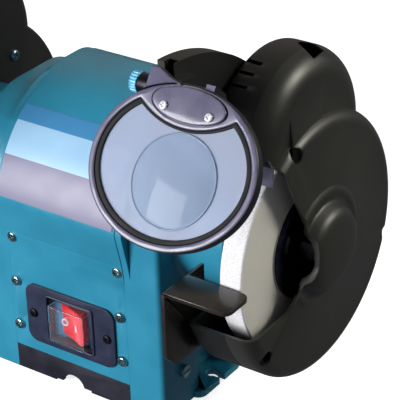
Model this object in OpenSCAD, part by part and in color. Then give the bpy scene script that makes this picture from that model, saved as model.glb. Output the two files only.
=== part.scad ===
// Bench grinder: a motor between two end castings, a wheel on each end of its spindle,
// and on each side a guard, a tool rest, a spark arrestor and a tilting eye shield.
// Origin: centre of the underside, on the bench. X runs along the spindle, the front is -Y, Z is up.

/* [Spindle] */
// Height of the spindle above the bench
axis_h = 135; // [130:1:140]
// Radius of the spindle where the wheels sit (half inch)
arbor_r = 6.35; // [6:0.05:6.5]

/* [Wheels] */
// Radius of a new grinding wheel
wheel_r = 75; // [70:0.5:76]
// Thickness of a grinding wheel
wheel_t = 16; // [12:0.5:16]
// Inner face of the wheels, from the middle of the motor
wheel_x = 136.4; // [136:0.1:138]

/* [Motor body] */
// Half length of the motor housing between the end castings
housing_x = 49.6; // [48:0.1:51]
// Outer face of the box part of an end casting
casting_x = 78; // [76:0.5:79]
// Outer end of the round neck that carries the guard
neck_x = 118; // [117.5:0.1:118]
// Radius of that neck
neck_r = 44; // [43:0.5:45]
// Wall of the housing and of the castings
wall = 3.2; // [3:0.1:3.5]

/* [Guards] */
// Outer radius of a guard round the wheel
guard_r = 89.5; // [89:0.5:90]
// Outer face of a guard
guard_x = 166; // [166:0.5:167]
// Wall of a guard
guard_t = 2.5; // [2.2:0.1:2.8]
// Plane where the cover meets the shell
split_x = 146; // [144:0.5:148]
// Radius of the upper hood
hood_r = 62; // [61:0.5:63]

/* [Eye shields] */
// Lean of the shields from upright, in degrees
shield_lean = 34; // [30:1:36]
// Half width of a shield
shield_a = 56.5; // [55:0.5:57]
// Half height of a shield
shield_b = 48; // [47:0.5:49]

/* [Hidden] */
clearance = 0.05;                    // radial running clearance
fine = 96;                           // smoothness of round parts
floor_z = 0.5;                       // underside of the castings, above the feet
front_y = 60;                        // front faces of the castings and the panel
lip_z = 113;                         // lower edge of the rounded upper housing
brow = [16, 123, 86];                // Y, Z and radius of the housing's sloping front
nose_r = 26;                         // radius of the turned-in nose above the panel
nose_a = asin(14 / brow[2]);         // where the nose leaves the sloping front
nose = [brow[0] - (brow[2] - nose_r) * cos(nose_a), brow[1] + (brow[2] - nose_r) * sin(nose_a)];
label_z = [143, 195.5];              // lower and upper edge of the name label
flange_w = 5;                        // flange of a casting that lies against the housing
rear_y = 66;                         // rear face of the housing
rear_r = 33;                         // its upper rear corner
top_z = brow[1] + brow[2];           // top of the housing
shoulder_z = 199;                    // top of the castings
shoulder_r = 55;                     // their upper front corner
hood_z = 205;                        // centre of the upper hood
hood_x = 160;                        // outer face of the upper hood
wheel_out = wheel_x + wheel_t;       // outer face of the wheels
flange_out = wheel_out + 0.6;        // outer face of the outer blotter
bearing_x = [99, 110];               // inner and outer face of a bearing
race_r = 12.5;                       // circle of the balls
ball_r = 2.95;                       // radius of a ball
balls = 8;                           // balls in a bearing
pivot = [-96, 273];                  // Y and Z of the eye shields' hinge line
shield_x = 144;                      // middle of a shield
shield_drop = 42.8;                  // hinge line to the middle of the shield
shield_front = 9.8;                  // hinge line to the middle of the shield's thickness
rest_z = 137;                        // top of a tool rest
rest_y = [-103, -77];                // front and rear edge of a tool rest
rest_bolt = [[-66, 92], [-50, 92]];  // Y and Z of the bolts that clamp a tool rest
rest_travel = 9;                     // how far a tool rest slides forward
bench_hole_r = 4.5;                  // radius of a bench bolt hole
bench_bolt_x = 75;                   // bench bolt holes, from the middle
switch_c = [2, 52.5];                // X and Z of the middle of the switch plate
rocker_pin = [3, -55];               // X and Y of the upright pin that the rocker tips on
rocker_pin_r = 1.5;                  // and its radius
cover_screws_at = [[-30, 213], [78, 107], [-67, 87]]; // Y and Z
cover_screw_x = [hood_x, guard_x - 3, guard_x - 3];   // the face that each one sits in
guard_screws_at = [30, 150, 270];    // angles of the screws that hold a guard
arrestor_y = -52;                    // front face of a spark arrestor
arrestor_travel = 8;                 // how far a spark arrestor moves down
arrestor_screw_z = 218.5;            // height of its two screws
arrestor_screw_x = [128, 140];       // and their places along the spindle
bracket_screws_at = [[25, 196], [-30, 222]]; // Y and Z of the screws of a shield bracket
register_x = 47;                     // where the castings grip the stator
register_r = 56.2;                   // outer radius of that grip
stator_r = 54;                       // radius of the stator
gland = [30, 22];                    // X and Z of the cable gland

// ---- helpers ----

// A piece on the right (1) or its mirror image on the left (-1)
module on_side(s) {
    if (s > 0) children();
    else mirror([1, 0, 0]) children();
}

// The same piece on both sides
module both_sides() {
    on_side(1) children();
    on_side(-1) children();
}

// An outline in Y and Z, extruded from x0 to x1
module along_x(x0, x1) {
    translate([x0, 0, 0]) rotate([90, 0, 90]) linear_extrude(x1 - x0) children();
}

// An outline in X and Z, extruded from y0 to y1
module along_y(y0, y1) {
    translate([0, y1, 0]) rotate([90, 0, 0]) linear_extrude(y1 - y0) children();
}

// An outline of radius and X, turned about the spindle axis
module spin_x(z = axis_h) {
    translate([0, 0, z]) rotate([0, 90, 0]) rotate_extrude($fn = fine) children();
}

// A rod along X from x0 to x1
module rod_x(x0, x1, r) {
    translate([x0, 0, 0]) rotate([0, 90, 0]) cylinder(r = r, h = x1 - x0, $fn = fine);
}

// A rod along Y from y0 to y1
module rod_y(y0, y1, r) {
    translate([0, y1, 0]) rotate([90, 0, 0]) cylinder(r = r, h = y1 - y0, $fn = fine);
}

// A box between two corners
module box(a, b) {
    translate(a) cube([b[0] - a[0], b[1] - a[1], b[2] - a[2]]);
}

// A rectangle with round corners between two corners
module round_rect(a, b, r) {
    translate([a[0] + r, a[1]]) square([b[0] - a[0] - 2 * r, b[1] - a[1]]);
    translate([a[0], a[1] + r]) square([b[0] - a[0], b[1] - a[1] - 2 * r]);
    for (x = [a[0] + r, b[0] - r], z = [a[1] + r, b[1] - r]) translate([x, z]) circle(r = r, $fn = 48);
}

// A disc of radius r from x0 to x1, with its two rims rounded by r0 and r1
module rounded_disc_2d(r, x0, x1, r0, r1) {
    translate([0, x0]) square([r - max(r0, r1), x1 - x0]);
    translate([0, x0 + r0]) square([r, x1 - x0 - r0 - r1]);
    intersection() {
        translate([r - r0, x0 + r0]) circle(r = r0, $fn = 64);
        translate([r - r0, x0]) square([r0, r0]);
    }
    intersection() {
        translate([r - r1, x1 - r1]) circle(r = r1, $fn = 64);
        translate([r - r1, x1 - r1]) square([r1, r1]);
    }
    translate([0, x0]) square([r - r0, r0]);
    translate([0, x1 - r1]) square([r - r1, r1]);
}

// A pan head screw along X: its head stands out from x towards +X
module screw_x(x, y, z, head_r, head_h, r, len) {
    translate([0, y, z]) difference() {
        union() {
            translate([x, 0, 0]) rotate([0, 90, 0]) rotate_extrude($fn = 48)
                rounded_disc_2d(head_r, 0, head_h, 0.2, head_h * 0.7);
            rod_x(x - len, x + 0.1, r);
        }
        for (a = [0, 90]) translate([x + head_h * 0.45, 0, 0]) rotate([a, 0, 0])
            box([0, -head_r * 0.55, -0.45], [head_h, head_r * 0.55, 0.45]);
    }
}

// The same screw with its head out from y towards the front
module screw_front(x, y, z, head_r, head_h, r, len) {
    translate([x, y, z]) rotate([0, 0, -90]) screw_x(0, 0, 0, head_r, head_h, r, len);
}

// ---- motor body ----

// A quarter disc that rounds an upper corner, to the rear (1) or the front (-1) of its centre c
module corner_2d(c, r, way) {
    intersection() {
        translate(c) circle(r = r, $fn = 160);
        translate([way > 0 ? c[0] : c[0] - 2 * r, c[1]]) square([2 * r, 2 * r]);
    }
}

// Outline of the housing, moved in by t
module housing_2d(t) {
    flat_top = top_z - floor_z - 2 * t;
    nose_top = brow[1] + (brow[2] - t) * sin(nose_a);
    intersection() {
        translate([brow[0], brow[1]]) circle(r = brow[2] - t, $fn = 160);
        translate([brow[0] - 100, nose_top]) square([100, 200]);
    }
    intersection() {
        translate(nose) circle(r = nose_r - t, $fn = 128);
        translate([nose[0] - 100, lip_z + t]) square([100, nose_top - lip_z - t]);
    }
    translate([nose[0], lip_z + t]) square([brow[0] - nose[0], nose_top - lip_z - t]);
    translate([brow[0], floor_z + t]) square([rear_y - rear_r - brow[0], flat_top]);
    corner_2d([rear_y - rear_r, top_z - rear_r], rear_r - t, 1);
    translate([rear_y - rear_r, floor_z + t]) square([rear_r - t, flat_top + t - rear_r]);
    translate([-front_y + t, floor_z + t]) square([front_y + brow[0] - t, lip_z - floor_z]);
}

// Outline of an end casting, moved in by t
module casting_2d(t) {
    h = shoulder_z - floor_z;
    translate([-front_y + t, floor_z + t]) square([shoulder_r - t, h - shoulder_r - t]);
    corner_2d([-front_y + shoulder_r, shoulder_z - shoulder_r], shoulder_r - t, -1);
    translate([-front_y + shoulder_r, floor_z + t])
        square([2 * front_y - shoulder_r - rear_r, h - 2 * t]);
    corner_2d([front_y - rear_r, shoulder_z - rear_r], rear_r - t, 1);
    translate([front_y - rear_r, floor_z + t]) square([rear_r - t, h - rear_r - t]);
}

module motor_housing() {
    color("teal") difference() {
        union() {
            // the curved sheet, its front below the lip and its floor open
            along_x(-housing_x, housing_x) difference() {
                housing_2d(0);
                housing_2d(wall);
                translate([-80, -1]) square([80 - front_y + wall, lip_z + 1]);
                translate([-80, -1]) square([80 + rear_y - wall, 11]);
            }
            // its end walls, open towards the castings
            both_sides() along_x(housing_x - wall, housing_x) difference() {
                housing_2d(0);
                casting_2d(wall + 0.4);
                translate([-80, -1]) square([80 - front_y + wall + 1, lip_z + 1]);
                translate([-80, -1]) square([80 + rear_y - wall, 11]);
            }
            // strips behind the panel that take its screws, hooked into the lip
            both_sides() along_x(41, housing_x - 3) {
                translate([-front_y + wall, 22]) square([2.6, lip_z - 20.2]);
                translate([-front_y + 0.2, lip_z + 0.8]) square([wall + 2.4, 1.2]);
            }
        }
        panel_screw_places() rod_y(-70, -50, 2);
        // hole for the cable gland
        translate([gland[0], 0, gland[1]]) rod_y(50, 80, 8);
    }
}

module front_panel() {
    color("teal") difference() {
        box([-housing_x, -front_y, 20], [housing_x, -front_y + wall - 0.2, lip_z - 0.2]);
        // opening for the switch
        along_y(-70, -50) round_rect([switch_c[0] - 19, switch_c[1] - 17],
            [switch_c[0] + 19, switch_c[1] + 17], 2);
        for (x = [-31.8, 31.8]) translate([switch_c[0] + x, 0, switch_c[1]]) rod_y(-70, -50, 1.9);
        panel_screw_places() rod_y(-70, -50, 2.1);
    }
}

// The three screws down each side of the panel
module panel_screw_places() {
    for (x = [-44.8, 44.8], z = [38, 73, 108]) translate([x, 0, z]) children();
}

module panel_screws() {
    color("silver") panel_screw_places() screw_front(0, -front_y, 0, 4, 2.4, 2, 9);
}

module label_plate() {
    color("lightsteelblue") intersection() {
        difference() {
            translate([0, brow[0], brow[1]]) rod_x(-housing_x + 1.5, housing_x - 1.5, brow[2] + 0.6);
            translate([0, brow[0], brow[1]]) rod_x(-housing_x, housing_x, brow[2]);
        }
        box([-housing_x, -80, label_z[0]], [housing_x, 0, label_z[1]]);
    }
}

module end_shield(s) {
    color("teal") on_side(s) difference() {
        union() {
            along_x(housing_x, casting_x) casting_2d(0);
            along_x(housing_x, housing_x + flange_w) housing_2d(0.5);
            rod_at_axis(casting_x - wall, neck_x, neck_r);
            // foot that stands out under the bolt pocket
            box([casting_x - 18, -26, 0], [84, 26, floor_z + 5]);
            // register that clamps the stator
            difference() {
                rod_at_axis(register_x, housing_x + 1, register_r);
                rod_at_axis(register_x - 1, housing_x + 2, stator_r + clearance);
            }
        }
        difference() {
            along_x(housing_x - 1, casting_x - wall) casting_2d(wall);
            // the register runs on to the end wall
            difference() {
                rod_at_axis(housing_x - 2, casting_x, register_r);
                rod_at_axis(housing_x - 3, casting_x + 1, stator_r + clearance);
            }
            // walls of the bolt pocket
            box([60, -23, 0], [casting_x, 23, 38]);
            // bosses for the tie bolts
            tie_bolt_places() rod_x(housing_x, casting_x, 6);
        }
        // inside of the neck, leaving the web and the bearing hub
        difference() {
            rod_at_axis(casting_x - wall - 1, neck_x - 4, neck_r - 3.5);
            rod_at_axis(bearing_x[0] - 2, neck_x, 22);
        }
        rod_at_axis(bearing_x[0] - 3, bearing_x[1] + 0.2, 17.5);
        rod_at_axis(bearing_x[1], neck_x + 1, 10.6);
        // bolt pocket, open to the side
        box([63, -20, floor_z + 5], [90, 20, 35]);
        // hole for a bench bolt, with a narrower mouth to the side
        translate([bench_bolt_x, 0, -1]) cylinder(r = bench_hole_r, h = 20, $fn = 64);
        box([bench_bolt_x, -3, -1], [90, 3, floor_z + 6]);
        tie_bolt_places() rod_x(register_x - 1, neck_x, 2.6);
        // threads for the guard screws
        for (a = guard_screws_at) guard_screw_place(a) rod_x(108, neck_x + 1, 2.1);
    }
}

// A rod along X on the spindle axis
module rod_at_axis(x0, x1, r) {
    translate([0, 0, axis_h]) rod_x(x0, x1, r);
}

module tie_bolt_places() {
    for (p = [[-38, 30], [38, 30], [-28, 186], [38, 185]]) translate([0, p[0], p[1]]) children();
}

module guard_screw_place(a) {
    translate([0, cos(a) * 33, axis_h + sin(a) * 33]) children();
}

module tie_bolts() {
    color("silver") tie_bolt_places() {
        rod_x(-casting_x - 0.1, casting_x, 2.5);
        difference() {
            rod_x(casting_x, casting_x + 3.5, 4.5);
            translate([casting_x + 2, 0, 0]) box([0, -4, -0.6], [3, 4, 0.6]);
        }
        difference() {
            translate([-casting_x - 4, 0, 0]) rotate([0, 90, 0]) cylinder(r = 4.6, h = 4, $fn = 6);
            rod_x(-casting_x - 5, -casting_x - 3, 1.2);
        }
    }
}

module base_plate() {
    color("#1c1c24") difference() {
        union() {
            box([-housing_x, -front_y, 4], [housing_x, rear_y - wall - 0.2, 7]);
            // front skirt
            box([-housing_x, -front_y, floor_z], [housing_x, -front_y + 3, 19.8]);
        }
        // arch in the front skirt
        along_y(-70, -50) {
            translate([-0.5, 0]) circle(r = 9.5, $fn = 64);
            translate([-16, -1]) square([31, 3]);
        }
        for (x = [-36, 36], y = [-44, 44]) translate([x, y, 0]) cylinder(r = 2.6, h = 20, $fn = 32);
    }
}

module rubber_feet() {
    color("#151515") for (x = [-36, 36], y = [-44, 44]) translate([x, y, 0]) {
        difference() {
            cylinder(r = 11, h = 4, $fn = 48);
            translate([0, 0, -1]) cylinder(r = 4, h = 2.5, $fn = 48);
        }
        cylinder(r = 2.5, h = 8, $fn = 32);
        translate([0, 0, 7]) cylinder(r = 4, h = 2, $fn = 32);
    }
}

// ---- electrics ----

module switch_plate() {
    color("#26262e") difference() {
        along_y(-front_y - 2, -front_y)
            round_rect([switch_c[0] - 38, switch_c[1] - 23], [switch_c[0] + 38, switch_c[1] + 23], 8);
        along_y(-70, -50) round_rect([switch_c[0] - 19.5, switch_c[1] - 17.5],
            [switch_c[0] + 19.5, switch_c[1] + 17.5], 2);
        for (x = [-31.8, 31.8]) translate([switch_c[0] + x, 0, switch_c[1]]) rod_y(-70, -50, 1.9);
    }
}

module switch_screws() {
    color("#303038") for (x = [-31.8, 31.8])
        screw_front(switch_c[0] + x, -front_y - 2, switch_c[1], 3.4, 1.6, 1.8, 8);
}

module switch_body() {
    color("#121216") difference() {
        along_y(-front_y - 1, -32) round_rect([switch_c[0] - 18.8, switch_c[1] - 16.8],
            [switch_c[0] + 18.8, switch_c[1] + 16.8], 2);
        // well that the rocker and its cover stand in
        box([-17 + switch_c[0], -70, switch_c[1] - 15], [17 + switch_c[0], -55, switch_c[1] + 15]);
        box([-13.5 + switch_c[0], -60, switch_c[1] - 12.5], [15.5 + switch_c[0], -42, switch_c[1] + 12.5]);
    }
    // pin that the rocker tips on
    color("silver") translate([rocker_pin[0], rocker_pin[1], switch_c[1] - 13.5])
        cylinder(r = rocker_pin_r, h = 27, $fn = 48);
}

// The rocker tips on its upright pin, its right half out and its left half in
module switch_rocker() {
    color("crimson") translate([rocker_pin[0], rocker_pin[1], switch_c[1]]) difference() {
        along_z(-12, 12) polygon([[-10, 6], [10.4, 6], [11, -8.4], [9, -9.2], [0, -5.4], [-12, -1.5]]);
        translate([0, 0, -13]) cylinder(r = rocker_pin_r + clearance, h = 26, $fn = 48);
    }
}

// An outline in X and Y, extruded from z0 to z1
module along_z(z0, z1) {
    translate([0, 0, z0]) linear_extrude(z1 - z0) children();
}

module switch_cover() {
    color([0.8, 0.85, 0.95, 0.4]) difference() {
        box([switch_c[0] - 14.6, -68, switch_c[1] - 14.4], [switch_c[0] + 16.2, -55, switch_c[1] + 14.4]);
        box([switch_c[0] - 13.5, -67, switch_c[1] - 13.3], [switch_c[0] + 15.1, -50, switch_c[1] + 13.3]);
    }
}

module capacitor() {
    color("gainsboro") translate([-18, 8, 28]) difference() {
        union() {
            rod_x(-24, 24, 17.5);
            rod_x(24, 27, 15);
        }
        translate([26.5, 0, 0]) rod_x(-1, 2, 12);
    }
    color("silver") for (y = [-5, 5]) translate([-18, 8 + y, 28]) rod_x(25, 33, 1.6);
}

module terminal_block() {
    color("ivory") difference() {
        box([20, -12, 7], [44, 20, 21]);
        for (y = [-6, 3, 12]) translate([32, y, 12]) cylinder(r = 2.6, h = 12, $fn = 32);
    }
}

module cable_gland() {
    color("#18181c") translate([gland[0], 0, gland[1]]) difference() {
        union() {
            rod_y(50, 72, 7.9);
            translate([0, 69.5, 0]) rotate([90, 0, 0]) cylinder(r = 12, h = 3.5, $fn = 6);
            translate([0, 62.8, 0]) rotate([90, 0, 0]) cylinder(r = 12, h = 4, $fn = 6);
            rod_y(69.5, 80, 9);
        }
        rod_y(40, 90, 4);
    }
}

// ---- motor ----

module stator_slots(r0, r1, w) {
    for (a = [0:30:330]) translate([0, 0, axis_h]) rotate([a, 0, 0]) box([-60, -w / 2, r0], [60, w / 2, r1]);
}

module stator_core() {
    color("slategray") difference() {
        rod_at_axis(-housing_x + 1.6, housing_x - 1.6, stator_r);
        rod_at_axis(-60, 60, 28.5);
        stator_slots(33, 46, 8);
    }
}

module stator_windings() {
    color("chocolate") {
        intersection() {
            stator_slots(33.5, 45.5, 7.4);
            rod_at_axis(-52, 52, 60);
        }
        both_sides() spin_x() translate([40.5, 57]) {
            translate([-8, -6]) square([16, 6]);
            intersection() {
                circle(r = 8, $fn = 48);
                translate([-9, 0]) square([18, 9]);
            }
        }
    }
}

module rotor_core() {
    color("gray") difference() {
        rod_at_axis(-46, 46, 28);
        rod_at_axis(-50, 50, 10);
    }
}

module rotor_end_rings() {
    color("lightgray") both_sides() difference() {
        union() {
            rod_at_axis(46, 51, 27);
            for (a = [0:45:315]) translate([0, 0, axis_h]) rotate([a, 0, 0])
                box([51, -1, 18], [56, 1, 26]);
        }
        rod_at_axis(45, 57, 15);
    }
}

module rotor_shaft() {
    color("silver") difference() {
        union() {
            rod_at_axis(-60, 60, 10);
            both_sides() {
                rod_at_axis(60, bearing_x[0], 9);
                rod_at_axis(bearing_x[0], 111, 7.5);
                rod_at_axis(111, 170, arbor_r);
                spin_x() polygon([[0, 170], [arbor_r, 170], [arbor_r - 1, 171], [0, 171]]);
            }
        }
        both_sides() for (x = [159.5:1.8:169]) spin_x()
            polygon([[arbor_r + 1, x - 0.9], [arbor_r + 1, x + 0.9], [arbor_r - 0.7, x]]);
    }
}

module bearing_outer_rings() {
    color("silver") both_sides() difference() {
        rod_at_axis(bearing_x[0], bearing_x[1], 17.5);
        rod_at_axis(bearing_x[0] - 1, bearing_x[1] + 1, 14.6);
        race();
    }
}

module bearing_inner_rings() {
    color("silver") both_sides() difference() {
        rod_at_axis(bearing_x[0], bearing_x[1], 10.4);
        rod_at_axis(bearing_x[0] - 1, bearing_x[1] + 1, 7.5);
        race();
    }
}

// The groove that the balls run in
module race() {
    spin_x() translate([race_r, (bearing_x[0] + bearing_x[1]) / 2]) circle(r = ball_r + 0.1, $fn = 48);
}

module bearing_balls() {
    color("white") both_sides() for (i = [0:balls - 1])
        translate([(bearing_x[0] + bearing_x[1]) / 2, race_r * cos(i * 360 / balls),
            axis_h + race_r * sin(i * 360 / balls)]) sphere(r = ball_r, $fn = 32);
}

// ---- wheels ----

module inner_flanges() {
    color("#202024") both_sides() spin_x() polygon([[arbor_r + clearance, 111], [9.8, 111],
        [9.8, 126], [24, 127], [29, 129], [36, 132.4], [38, 133], [38, wheel_x - 0.6],
        [30, wheel_x - 0.6], [30, wheel_x - 1.6], [arbor_r + clearance, wheel_x - 1.6]]);
}

module blotters() {
    color("ivory") both_sides() for (x = [wheel_x - 0.6, wheel_out]) difference() {
        rod_at_axis(x, x + 0.6, 39);
        rod_at_axis(x - 1, x + 2, 16);
    }
}

// A wheel with its two rims just broken
module wheel(s) {
    color(s > 0 ? "whitesmoke" : "rosybrown") on_side(s) difference() {
        spin_x() rounded_disc_2d(wheel_r, wheel_x, wheel_out, 1.2, 1.2);
        rod_at_axis(wheel_x - 1, wheel_out + 1, arbor_r + clearance);
    }
}

module outer_flanges() {
    color("#202024") both_sides() spin_x() polygon([[arbor_r + clearance, flange_out + 1],
        [30, flange_out + 1], [30, flange_out], [38, flange_out], [38, flange_out + 2.2],
        [36.5, flange_out + 3.2], [33, flange_out + 3.6], [27, flange_out + 2.6], [20, flange_out + 3.4],
        [16, flange_out + 5], [arbor_r + clearance, flange_out + 5]]);
}

module spindle_nuts() {
    color("silver") both_sides() difference() {
        translate([flange_out + 5, 0, axis_h]) rotate([0, 90, 0]) cylinder(r = 12, h = 8.5, $fn = 6);
        rod_at_axis(flange_out, 180, arbor_r + clearance);
    }
}

// ---- guards ----

// The wheel case and the upper hood, moved in by t
module guard_form(t) {
    spin_x() rounded_disc_2d(guard_r - t, neck_x + t, guard_x - t, 3 - t * 0.5, 9 - t);
    spin_x(hood_z) rounded_disc_2d(hood_r - t, neck_x + t, hood_x - t, 10 - t, 18 - t);
}

// The raised ring and the round dome over the spindle end
module guard_dome(t) {
    spin_x() polygon([[0, guard_x - 6], [41 - t, guard_x - 6], [41 - t, guard_x - t], [39 - t, guard_x + 1.6 - t],
        [33 - t, guard_x + 2.2 - t], [31 - t, guard_x + 3.4 - t], [29 - t, guard_x + 8 - t],
        [26 - t, guard_x + 10.6 - t], [20 - t, guard_x + 11.8 - t], [0, guard_x + 12 - t]]);
}

// The open mouth in front, where the wheel shows
module guard_mouth() {
    along_x(neck_x - 2, guard_x + 20) polygon([[-110, 217], [-50, 217], [-24, 167], [-21.5, 152],
        [-23, 134], [-28, 119], [-34, 111], [-42, 107], [-110, 107]]);
}

module guard_half(s) {
    on_side(s) difference() {
        union() {
            guard_form(0);
            guard_dome(0);
        }
        guard_form(guard_t);
        guard_dome(guard_t);
        guard_mouth();
        rod_at_axis(neck_x - 1, neck_x + 6, 13);
        for (a = guard_screws_at) guard_screw_place(a) rod_x(neck_x - 1, neck_x + 6, 2.6);
        for (p = bracket_screws_at) translate([0, p[0], p[1]]) rod_x(neck_x - 1, neck_x + 6, 2.1);
        for (p = rest_bolt) translate([0, p[0], p[1]]) rod_x(neck_x - 1, neck_x + 6, 2.6);
    }
}

// A rod from x0 to x1 at each screw that holds the cover on
module cover_posts(x0, x1, r) {
    for (p = cover_screws_at) translate([0, p[0], p[1]]) rod_x(x0, x1, r);
}

module guard_shell(s) {
    color("#2f2f2b") {
        intersection() {
            guard_half(s);
            on_side(s) box([100, -120, 0], [split_x, 120, 300]);
        }
        on_side(s) difference() {
            // posts for the cover screws, lug for the spark arrestor, seats for the rest bolts
            union() {
                cover_posts(neck_x + 1, 148, 4.5);
                box([neck_x + 1, arrestor_y + 1.6, 213], [split_x, arrestor_y + 4.2, 224]);
                for (p = rest_bolt) translate([0, p[0], p[1]]) rod_x(114.7, neck_x + 6, 6.5);
            }
            cover_posts(135, 150, 1.9);
            for (x = arrestor_screw_x) translate([x, 0, arrestor_screw_z]) rod_y(-60, -40, 1.6);
            for (p = rest_bolt) translate([0, p[0], p[1]]) rod_x(100, 130, 2.6);
        }
    }
}

module guard_cover(s) {
    color("#2f2f2b") difference() {
        union() {
            intersection() {
                guard_half(s);
                on_side(s) box([split_x, -120, 0], [200, 120, 300]);
            }
            // posts that meet those of the shell
            on_side(s) intersection() {
                cover_posts(148, 164.5, 5.5);
                guard_form(0.4);
            }
        }
        on_side(s) {
            cover_posts(140, 200, 2.1);
            cover_recess();
        }
    }
}

// Recess for the heads of the cover screws
module cover_recess() {
    for (i = [0:len(cover_screws_at) - 1]) translate([0, cover_screws_at[i][0], cover_screws_at[i][1]])
        rod_x(cover_screw_x[i] - 2.2, cover_screw_x[i] + 5, 5);
}

module guard_screws() {
    color("silver") both_sides() for (a = guard_screws_at) guard_screw_place(a)
        screw_x(neck_x + guard_t, 0, 0, 4.5, 2.8, 2.1, 11);
}

module cover_screws() {
    color("#303038") both_sides() for (i = [0:len(cover_screws_at) - 1])
        screw_x(cover_screw_x[i] - 2.2, cover_screws_at[i][0], cover_screws_at[i][1], 4.2, 2, 1.9,
            cover_screw_x[i] - 140);
}

// ---- spark arrestors ----

module spark_arrestor(s) {
    color("slategray") on_side(s) difference() {
        union() {
            box([122, arrestor_y, 200], [161.5, arrestor_y + 1.5, 213]);
            box([125, arrestor_y, 200], [147.5, arrestor_y + 1.5, arrestor_screw_z + arrestor_travel + 3]);
        }
        for (x = arrestor_screw_x) along_y(arrestor_y - 1, arrestor_y + 3)
            round_rect([x - 1.9, arrestor_screw_z - 1.9],
                [x + 1.9, arrestor_screw_z + arrestor_travel + 1.9], 1.89);
    }
}

module arrestor_screws() {
    color("silver") both_sides() for (x = arrestor_screw_x)
        screw_front(x, arrestor_y - 0.1, arrestor_screw_z, 3.2, 1.8, 1.5, 6);
}

// ---- tool rests ----

module tool_rest(s) {
    color("#1a1a1e") on_side(s) difference() {
        union() {
            difference() {
                box([112, rest_y[0], rest_z - 2.5], [161, rest_y[1], rest_z]);
                for (y = rest_y) corner_cut(161, y, 6, y < -90 ? 1 : -1);
            }
            along_x(112, 114.5) difference() {
                union() {
                    translate([rest_y[0], 79]) square([43, 57.5]);
                    translate([rest_y[0], 79]) square([69, 24]);
                }
                difference() {
                    translate([rest_y[0] - 1, 78]) square([11, 11]);
                    translate([rest_y[0] + 10, 89]) circle(r = 10, $fn = 64);
                }
            }
        }
        // one long slot that runs over both bolts
        along_x(110, 116) round_rect([rest_bolt[0][0] - 2.7, rest_bolt[0][1] - 2.7],
            [rest_bolt[1][0] + rest_travel + 2.7, rest_bolt[1][1] + 2.7], 2.69);
    }
}

// What is cut away to round a corner of the rest
module corner_cut(x, y, r, dir) {
    difference() {
        box([x - r, min(y, y + dir * r) , rest_z - 5], [x + 1, max(y, y + dir * r), rest_z + 5]);
        translate([x - r, y + dir * r, rest_z - 6]) cylinder(r = r, h = 12, $fn = 48);
    }
}

module rest_bolts() {
    color("#202024") both_sides() for (p = rest_bolt) translate([0, p[0], p[1]]) {
        rod_x(108, 124, 2.5);
        difference() {
            rod_x(106.5, 111.9, 5.5);
            translate([105, 0, 0]) rotate([0, 90, 0]) cylinder(r = 2.6, h = 4.5, $fn = 6);
        }
    }
}

// ---- eye shields ----

// Places a piece drawn in the shield's own frame: middle at the origin, front towards -Y
module in_shield() {
    translate([shield_x, pivot[0], pivot[1]]) rotate([-shield_lean, 0, 0])
        translate([0, -shield_front, -shield_drop]) children();
}

// An ellipse as a polygon
module oval(a, b) {
    polygon([for (i = [0:5:355]) [a * cos(i), b * sin(i)]]);
}

module shield_bracket(s) {
    x0 = 106;
    color("#24241f") on_side(s) translate([0, pivot[0], pivot[1]]) difference() {
        union() {
            // lobed plate on the inner face of the guard
            translate([0, -pivot[0], -pivot[1]]) along_x(x0, neck_x) bracket_2d();
            rod_x(shield_x - 26.2, shield_x + 4.2, 6.5);
            // web from the plate to the hinge barrel
            along_x(neck_x - 6, neck_x + 7) polygon([[-4, -5], [2, 5], [22, 2], [34, -12], [26, -26]]);
        }
        // room for the shield's ear and the knob
        rod_x(x0 + 5, shield_x - 26.4, 18.6);
        rod_x(x0 - 1, x0 + 5.1, 8.2);
        rod_x(100, 160, 3.05);
        translate([0, -pivot[0], -pivot[1]]) for (p = bracket_screws_at)
            translate([0, p[0], p[1]]) rod_x(100, 130, 2.1);
    }
}

// Outline of the bracket plate: a broad lobe from the hinge down the inner face of the guard
module bracket_2d() {
    intersection() {
        translate([-92, 160]) circle(r = 126, $fn = 128);
        polygon([[-88, 300], [-88, 262], [-60, 236], [-40, 206], [8, 184], [28, 182], [36, 190],
            [60, 220], [20, 300]]);
    }
}

module bracket_screws() {
    color("silver") both_sides() for (p = bracket_screws_at)
        mirror([1, 0, 0]) screw_x(-106, p[0], p[1], 4, 2.4, 2, 13);
}

// The frame: an oval ring, a filled top with an ear and two hinge lugs behind
module shield_frame(s) {
    color("#2c2c38") on_side(s) in_shield() difference() {
        union() {
            along_y(-3, 3) difference() {
                union() {
                    oval(shield_a, shield_b);
                    polygon([[-33, 28], [-33, 52], [-31, 53.5], [-27, 53.6], [-18, 49.5], [-9, 47.4], [10, 40]]);
                }
                difference() {
                    oval(shield_a - 4.6, shield_b - 4.4);
                    lens_top();
                }
            }
            // raised oval pad
            along_y(-4.6, 0) translate([0, 36.3]) oval(25.3, 10.2);
            // hinge lugs
            for (x = [-33, 5]) hull() {
                translate([x, shield_front, shield_drop]) rod_x(0, 6, 7);
                box([x, 0, 33], [x + 6, 1, 51]);
            }
        }
        translate([0, shield_front, shield_drop]) rod_x(-40, 20, 3.05);
        for (x = [-15.6, 15.6]) translate([x, 0, 32.7]) rod_y(-10, 2, 1.7);
    }
}

// The filled top of the frame, down to a hanging arc
module lens_top() {
    intersection() {
        translate([-1, 77.8]) circle(r = 55, $fn = 128);
        translate([-60, 10]) square([120, 50]);
    }
}

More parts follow.
